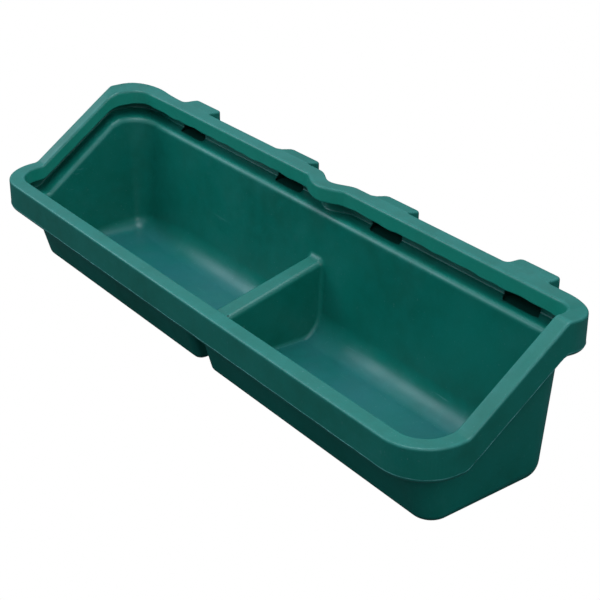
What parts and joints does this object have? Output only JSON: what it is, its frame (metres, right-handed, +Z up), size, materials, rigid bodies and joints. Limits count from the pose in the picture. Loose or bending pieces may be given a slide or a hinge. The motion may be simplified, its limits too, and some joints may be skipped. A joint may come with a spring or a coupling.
{
  "type": "hook-over feed trough",
  "caption": "Hollow green polyethylene feed trough with a divider, a low front rim, a high back rim and hooks that hang it over a gate or rail",
  "frame": {"origin": "centre of the bounding box in plan, on the ground under the flat base", "axes": "+X along the trough's length, -Y towards the low front where animals feed, +Y towards the hooks, +Z up"},
  "size_m": [1, 0.302, 0.23],
  "materials": {
    "divider_cap": "satin moulded polyethylene",
    "hook_1": "satin moulded polyethylene",
    "hook_2": "satin moulded polyethylene",
    "hook_3": "satin moulded polyethylene",
    "hook_4": "satin moulded polyethylene",
    "ledge_back": "satin moulded polyethylene",
    "ledge_front": "satin moulded polyethylene",
    "ledge_left": "satin moulded polyethylene",
    "ledge_right": "satin moulded polyethylene",
    "left_compartment": "satin moulded polyethylene",
    "right_compartment": "satin moulded polyethylene",
    "rim_back_left": "satin moulded polyethylene",
    "rim_back_right": "satin moulded polyethylene",
    "rim_scallop": "satin moulded polyethylene",
    "rim_front": "satin moulded polyethylene",
    "rim_left": "satin moulded polyethylene",
    "rim_right": "satin moulded polyethylene",
    "upper_wall_back": "satin moulded polyethylene",
    "upper_wall_front": "satin moulded polyethylene",
    "upper_wall_left": "satin moulded polyethylene",
    "upper_wall_right": "satin moulded polyethylene"
  },
  "bodies": {
    "root": {"divider_cap": "divider_cap", "hook_1": "hook_1", "hook_2": "hook_2", "hook_3": "hook_3", "hook_4": "hook_4", "ledge_back": "ledge_back", "ledge_front": "ledge_front", "ledge_left": "ledge_left", "ledge_right": "ledge_right", "left_compartment": "left_compartment", "right_compartment": "right_compartment", "rim_back_left": "rim_back_left", "rim_back_right": "rim_back_right", "rim_scallop": "rim_scallop", "rim_front": "rim_front", "rim_left": "rim_left", "rim_right": "rim_right", "upper_wall_back": "upper_wall_back", "upper_wall_front": "upper_wall_front", "upper_wall_left": "upper_wall_left", "upper_wall_right": "upper_wall_right"}
  },
  "joints": []
}
